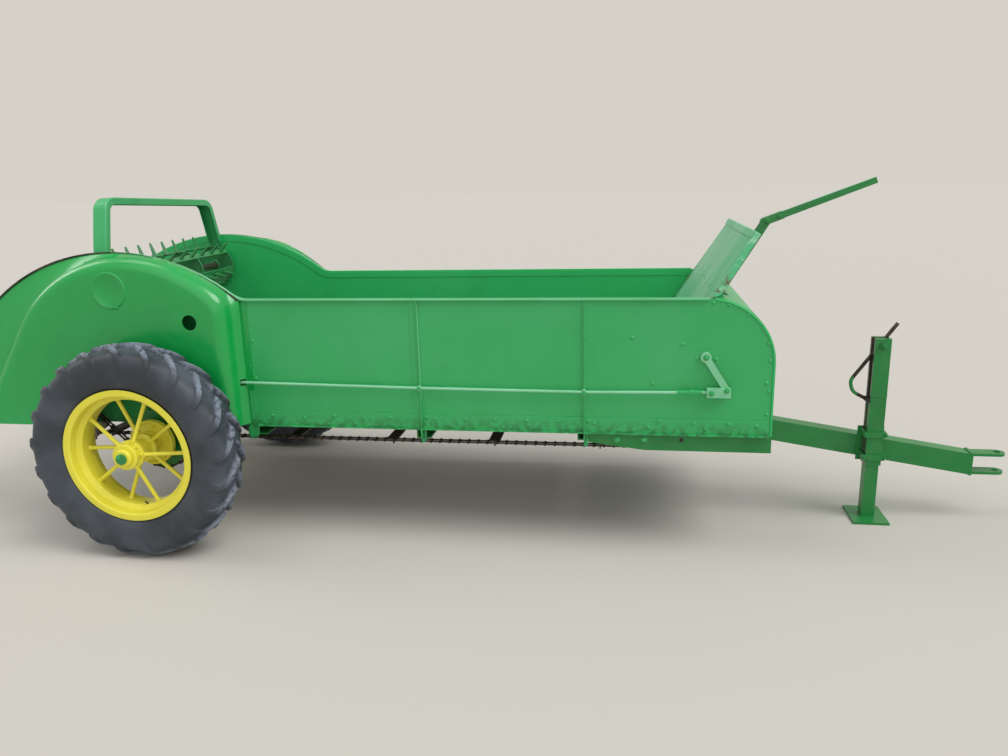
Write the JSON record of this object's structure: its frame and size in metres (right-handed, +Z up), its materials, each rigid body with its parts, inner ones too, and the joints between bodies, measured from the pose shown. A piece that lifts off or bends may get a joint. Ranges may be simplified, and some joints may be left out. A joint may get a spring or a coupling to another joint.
{
  "type": "manure spreader",
  "caption": "Two-wheel ground-driven box manure spreader with apron chain, two beaters, spiral distributor, sloped front guard, tongue and screw jack.",
  "frame": {"origin": "on the ground under the middle of the machine's length and width", "axes": "+X forward to the hitch, +Y to the machine's left, +Z up"},
  "size_m": [4.725, 1.702, 1.481],
  "materials": {
    "body_paint": "gloss enamel, brushed and sprayed, lightly scuffed",
    "frame_paint": "the same enamel over castings, dusty",
    "wheel_paint": "gloss yellow enamel",
    "tyre": "weathered tread rubber, dusty",
    "boards": "worn softwood boards with old paint in the grain",
    "chain_steel": "dull, oily, a little rust"
  },
  "bodies": {
    "frame": {"side_right": "body_paint", "side_left": "body_paint", "floor_boards": "boards", "front_skin": "body_paint", "front_panel": "body_paint", "cross_sills": "frame_paint", "front_frame": "body_paint", "rear_arch": "body_paint", "shield_right": "body_paint", "shield_left": "body_paint", "shaft_hangers": "frame_paint", "rotor_bearings": "frame_paint", "apron_chain": "chain_steel", "apron_shafts": "chain_steel", "drive_chains": "chain_steel", "control_lever": "body_paint", "feed_rod": "body_paint", "tongue": "body_paint", "hitch_clevis": "body_paint", "jack_tube": "body_paint", "jack_crank": "chain_steel", "jack_clamp": "body_paint"},
    "right_wheel": {"tyre_right": "tyre", "wheel_right": "wheel_paint", "ratchet_right": "wheel_paint"},
    "left_wheel": {"tyre_left": "tyre", "wheel_left": "wheel_paint", "ratchet_left": "wheel_paint"},
    "drive_axle": {"axle": "chain_steel", "axle_sprocket": "frame_paint"},
    "main_rotor": {"main_shaft": "chain_steel", "main_beater": "frame_paint", "main_sprockets": "frame_paint"},
    "upper_rotor": {"upper_shaft": "chain_steel", "upper_beater": "frame_paint", "upper_sprocket": "frame_paint"},
    "spreader_rotor": {"spreader_shaft": "chain_steel", "spreader_blades": "body_paint", "spreader_sprocket": "frame_paint"},
    "jack_foot": {"jack_leg": "body_paint"}
  },
  "joints": [
    {"name": "right_wheel_turn", "type": "hinge", "parent": "frame", "child": "right_wheel", "pos_m": [-1.2775, -0.73, 0.453], "axis": [0, 1, 0], "continuous": true},
    {"name": "left_wheel_turn", "type": "hinge", "parent": "frame", "child": "left_wheel", "pos_m": [-1.2775, 0.73, 0.453], "axis": [0, 1, 0], "continuous": true},
    {"name": "axle_turn", "type": "hinge", "parent": "frame", "child": "drive_axle", "pos_m": [-1.2775, 0, 0.453], "axis": [0, 1, 0], "continuous": true},
    {"name": "main_beater_turn", "type": "hinge", "parent": "frame", "child": "main_rotor", "pos_m": [-1.72708, 0, 0.8], "axis": [0, 1, 0], "continuous": true},
    {"name": "upper_beater_turn", "type": "hinge", "parent": "frame", "child": "upper_rotor", "pos_m": [-1.4925, 0, 1.09], "axis": [0, 1, 0], "continuous": true},
    {"name": "spreader_turn", "type": "hinge", "parent": "frame", "child": "spreader_rotor", "pos_m": [-2.1575, 0, 0.72], "axis": [0, 1, 0], "continuous": true},
    {"name": "jack_leg_slide", "type": "slide", "parent": "frame", "child": "jack_foot", "axis": [0, 0, 1], "range_m": [0, 0.205]}
  ],
  "couplings": [
    {"joint": "axle_turn", "follows": "main_beater_turn", "ratio": 0.4},
    {"joint": "upper_beater_turn", "follows": "main_beater_turn", "ratio": 1.25},
    {"joint": "spreader_turn", "follows": "main_beater_turn", "ratio": 1.4286}
  ]
}
